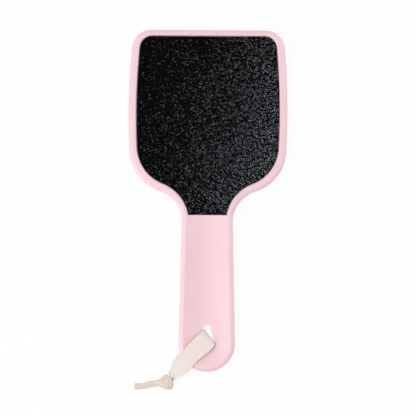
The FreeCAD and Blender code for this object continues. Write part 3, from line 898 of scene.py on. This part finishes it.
@dataclass
class RibbonLoop:
    """The tape: a loop through the hanging hole, a knot and two folded tails.

    Distances along the legs are measured from the fold in the hole, in the legs' heading.
    """

    material: bpy.types.Material
    # The knot's finish is a darker copy of the tape: painted shade.
    shaded_knot_material: bpy.types.Material
    # The tails' finish is a darker copy of the tape: painted shade.
    shaded_tail_material: bpy.types.Material
    fold: Place = (0.75 * MM, -82.1 * MM, 0.0)
    heading: float = math.radians(229.7)
    fold_lean: float = math.radians(-9.4)
    lean_end: float = 12.0 * MM
    width: float = 11.0 * MM
    fold_width: float = 10.6 * MM
    fold_shift: float = -1.3 * MM
    squeeze: Span = (-6.0 * MM, 20.0 * MM)
    under_shift: float = -1.6 * MM
    under_rise: Span = (0.5 * MM, 3.0 * MM)
    under_fall: Span = (7.0 * MM, 22.0 * MM)
    belly: float = 1.4 * MM
    belly_rise: Span = (0.3 * MM, 2.6 * MM)
    belly_fall: Span = (3.0 * MM, 17.0 * MM)
    half_height: float = 4.5 * MM
    throat_width: float = 4.4 * MM
    gather: Span = (23.5 * MM, 38.5 * MM)
    pleat_depth: float = 0.5 * MM
    pleat_count: float = 2.2
    pleat_start: float = 0.6
    pleat_growth: float = 1.5
    thick: float = 0.3 * MM
    tail_width: float = 3.2 * MM
    tail_thick: float = 0.26 * MM
    tail_gap: float = 0.17 * MM
    tail_lap: float = 0.35
    loop_length: float = 78.0 * MM
    # Points for each control point of a route, and points across each section: for a tail, those of its
    # lower layer, its fold and its upper layer.
    loop_steps: int = 16
    loop_columns: int = 41
    tail_steps: int = 12
    tail_columns: tuple[int, int, int] = (16, 9, 14)
    # Route of the loop, from the knot over the handle, down the hole and back: distance and height in mm.
    loop_route: tuple[Pair, ...] = (
        (36.6, 3.8), (31.0, 6.4), (24.5, 9.2), (16.0, 9.35), (8.0, 9.1), (1.5, 9.1), (0.0, 7.3),
        (0.0, 2.3), (1.9, 0.32), (8.0, 0.3), (16.0, 0.36), (24.5, 0.33), (31.0, 1.4), (36.6, 2.6),
    )
    # Two places on the loop, given as in the route.
    blend_start: Pair = (1.0, 4.5)
    blend_end: Pair = (20.0, 4.5)
    # Routes of the tails: across and along from the fold, and height, in mm.
    tail_routes: tuple[tuple[str, tuple[Place, ...]], ...] = (
        ("upper", ((-29.25, -30.1, 1.9), (-34.75, -30.9, 1.5), (-39.35, -32.3, 1.2), (-44.75, -32.35, 1.1))),
        ("lower", ((-29.25, -30.7, 0.9), (-34.75, -31.4, 0.6), (-39.35, -32.8, 0.42), (-45.35, -32.9, 0.4))),
    )

    @property
    def along(self) -> np.ndarray:
        """The legs' level direction, away from the fold."""
        return np.array((math.cos(self.heading), math.sin(self.heading), 0.0))

    def at(self, distance: float, height: float) -> np.ndarray:
        """A place in the legs' plane, from millimetres."""
        return np.array(self.fold) + self.along * distance * MM + np.array((0.0, 0.0, height * MM))

    def squeezed(self, distance: np.ndarray) -> np.ndarray:
        """How much of the fold's narrowing is left at each distance, from 1 to 0."""
        return 1.0 - smooth_step(*self.squeeze, distance)

    def edge_shifts(self, distance: np.ndarray, height: np.ndarray) -> tuple[np.ndarray, np.ndarray]:
        """How far the strip lies to one side, and how far it bulges there.

        The fold lies nearer to the hole's wide end, the stretch under the handle lies a little further that
        way, and the stretch over the hole has an edge that bulges over the hole's rim.

        Args:
            distance: how far along the legs each point of the strip's line is.
            height: how high each point is.

        Returns:
            The shift of the strip's middle, and the bulge of its edge, at each point.
        """
        under = hump(self.under_rise, self.under_fall, distance)
        swell = hump(self.belly_rise, self.belly_fall, distance)
        below = height < self.half_height
        shift = self.fold_shift * self.squeezed(distance) + self.under_shift * np.where(below, under, 0.0)
        return shift, np.where(below, 0.0, self.belly) * swell

    def build_loop(self) -> tuple[bpy.types.Object, np.ndarray]:
        """Add the loop as one strip of tape.

        It is narrower in the hole, full over the handle and gathered into lengthwise pleats at the knot: the
        middle line of each section is a cosine wave whose height grows as the strip narrows. The fold's
        line leans from square by a few degrees.

        Returns:
            The strip, and the line that it follows.
        """
        places = [tuple(self.at(*spot)) for spot in self.loop_route]
        line = spline_line("loop_route", places, self.loop_steps)
        distance = (line - np.array(self.fold)) @ self.along
        gather = smooth_step(*self.gather, distance)
        width = self.width - (self.width - self.fold_width) * self.squeezed(distance)
        width = mixed(width, self.throat_width, gather)
        lean = self.fold_lean * (1.0 - smooth_step(0.0, self.lean_end, distance))
        turn = self.heading + math.pi / 2 + math.pi + lean
        across = np.stack((np.cos(turn), np.sin(turn), np.zeros_like(turn)), axis=-1)
        spot = np.linspace(-1.0, 1.0, self.loop_columns)
        wave = np.cos(spot * self.pleat_count * math.pi + self.pleat_start)
        pleats = wave * gather[:, None] ** self.pleat_growth * self.pleat_depth
        shift, belly = self.edge_shifts(distance, line[:, 2])
        sideways = width[:, None] / 2 * spot + shift[:, None] - belly[:, None] * (1.0 - spot) / 2
        sections = np.stack((sideways, pleats), axis=-1)
        made = tape_piece("ribbon_loop", line, across, sections, self.thick)
        dress(made, self.material)
        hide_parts("ribbon_fold", "ribbon_front_leg", "ribbon_back_leg")
        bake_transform(made)
        return made, line

    def build_tail(self, name: str, route: tuple[Place, ...]) -> bpy.types.Object:
        """Add a tail: the tape folded once along its length, its free edge short of the fold's other side.

        The section's middle line runs straight across, round half a circle and part of the way back.

        Args:
            name: which tail it is.
            route: its control points, from the fold in the hole, in millimetres.

        Returns:
            The new object.
        """
        places = [tuple(np.array(self.fold) + np.array(spot) * MM) for spot in route]
        line = spline_line(f"tail_{name}", places, self.tail_steps)
        _, across = level_across(line)
        half, gap = self.tail_width / 2, self.tail_gap
        lower_count, fold_count, upper_count = self.tail_columns
        out = np.linspace(-half, half - gap, lower_count)
        bend = np.linspace(-math.pi / 2, math.pi / 2, fold_count)
        back = np.linspace(half - gap, -half * self.tail_lap, upper_count)
        lower = np.stack((out, np.full_like(out, -gap)), axis=-1)
        turned = np.stack((half - gap + gap * np.cos(bend), gap * np.sin(bend)), axis=-1)
        upper = np.stack((back, np.full_like(back, gap)), axis=-1)
        section = np.concatenate((lower, turned[1:-1], upper))
        sections = np.repeat(section[None], len(line), axis=0)
        made = tape_piece(f"ribbon_tail_{name}_fold", line, across, sections, self.tail_thick)
        dress(made, self.shaded_tail_material)
        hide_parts(f"ribbon_tail_{name}")
        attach(made, Body.RIBBON.value)
        return made

    def build(self) -> None:
        loop, line = self.build_loop()
        tails = [self.build_tail(name, route) for name, route in self.tail_routes]
        knot = RibbonKnot(self.shaded_knot_material).build()
        LOG.info("ribbon: loop %.1f mm", run_lengths(line)[-1] / MM)


@dataclass(frozen=True)
class SoftBox:
    """A square lamp that faces the paddle."""

    name: str
    place: Place
    size: float
    power: float

    def build(self, target: Vector) -> None:
        """Add the lamp.

        Args:
            target: the place that it faces.
        """
        lamp = bpy.data.lights.new(self.name, "AREA")
        lamp.size = self.size
        lamp.energy = self.power
        holder = bpy.data.objects.new(self.name, lamp)
        holder.location = self.place
        holder.rotation_mode = "QUATERNION"
        holder.rotation_quaternion = (target - Vector(self.place)).to_track_quat("-Z", "Y")
        bpy.context.scene.collection.objects.link(holder)


@dataclass(frozen=True)
class Studio:
    """Camera straight above the paddle, soft lamps, a pale surrounding and a white table."""

    centre: Place = (0.37 * MM, -4.25 * MM, 4.5 * MM)
    view_width: float = 256.2 * MM
    distance: float = 0.9
    roll: float = math.radians(0.35)
    sensor_width: float = 36.0
    surround: float = 0.03
    table_reach: float = 4.0
    table_grey: float = 0.92
    table_white: float = 0.9
    boxes: tuple[SoftBox, ...] = (
        SoftBox("high_box", (-0.45, -0.17, 1.09), 0.8, 6.1),
        SoftBox("key_box", (-1.0, -0.55, 0.6), 1.25, 10.8),
        SoftBox("right_box", (0.95, 0.3, 0.5), 1.1, 7.8),
        SoftBox("back_box", (-0.2, 1.1, 0.75), 1.4, 6.0),
        SoftBox("front_box", (0.2, -1.2, 0.72), 1.4, 2.6),
    )

    def build_camera(self) -> None:
        """Add the camera."""
        data = bpy.data.cameras.new("camera")
        data.sensor_width = self.sensor_width
        data.lens = data.sensor_width * self.distance / self.view_width
        data.clip_start, data.clip_end = 0.01, 100.0
        camera = bpy.data.objects.new("camera", data)
        camera.location = Vector(self.centre) + Vector((0.0, 0.0, self.distance))
        camera.rotation_euler = (0.0, 0.0, self.roll)
        bpy.context.scene.collection.objects.link(camera)
        bpy.context.scene.camera = camera

    def build_table(self) -> None:
        """Add the table: matt white, lifted towards pure white where it is seen, with its shadows kept."""
        reach = self.table_reach
        corners = np.array([(-reach, -reach, 0.0), (reach, -reach, 0.0),
                            (reach, reach, 0.0), (-reach, reach, 0.0)])
        table = add_mesh("table", corners, np.array([(0, 1, 2, 3)]), False)
        graph = Graph("table_white")
        rays = graph.add("LightPath").outputs
        seen = graph.math("MAXIMUM", rays["Is Camera Ray"], rays["Is Glossy Ray"])
        seen = graph.math("MAXIMUM", seen, rays["Is Transmission Ray"])
        matt = graph.add("BsdfDiffuse", {"Color": (self.table_grey,) * 3 + (1.0,)})
        white = graph.add("Emission", {"Color": (1.0, 1.0, 1.0, 1.0), "Strength": 1.0})
        share = graph.math("MULTIPLY", seen, self.table_white)
        mix = graph.add("MixShader", {0: share, 1: matt.outputs[0], 2: white.outputs[0]})
        graph.add("OutputMaterial", {"Surface": mix.outputs[0]})
        dress(table, graph.material)

    def build(self) -> None:
        """Add the whole studio."""
        self.build_camera()
        self.build_table()
        for box in self.boxes:
            box.build(Vector(self.centre))
        world = bpy.data.worlds.new("surround")
        world.use_nodes = True
        light = world.node_tree.nodes["Background"].inputs
        light["Color"].default_value = (1.0, 1.0, 1.0, 1.0)
        light["Strength"].default_value = self.surround
        bpy.context.scene.world = world
        bpy.context.scene.view_settings.view_transform = "Standard"


def main() -> None:
    """Build every piece."""
    logging.basicConfig(level=logging.INFO, format="%(name)s %(message)s")
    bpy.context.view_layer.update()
    Studio().build()
    # The knot's tape is a darker copy of the loop's tape: painted shade in the knot's folds.
    knot = WovenTape("woven_tape_knot_painted_shade", (0.65, 0.555, 0.48), (0.81, 0.73, 0.66))
    # The tails' tape is a darker copy of the loop's tape: painted shade on the folded tails.
    tails = WovenTape("woven_tape_tails_painted_shade", (0.66, 0.555, 0.475), (0.83, 0.735, 0.655))
    RibbonLoop(WovenTape().build(), knot.build(), tails.build()).build()
    Paddle(MouldedPlastic().build()).build()
    film, paper = AdhesiveFilm().build(), BackingPaper().build()
    sheets = (
        AbrasiveSheet(Grade.COARSE, Side.FRONT, "coarse_grit", count=49000, grain_size=0.56 * MM,
                      grain_tall=0.34 * MM, seed=11),
        AbrasiveSheet(Grade.FINE, Side.REAR, "fine_grit", count=49000, grain_size=0.46 * MM,
                      grain_tall=0.2 * MM, seed=12),
    )
    for sheet in sheets:
        sheet.build(film, paper)


if __name__ == "__main__":
    main()
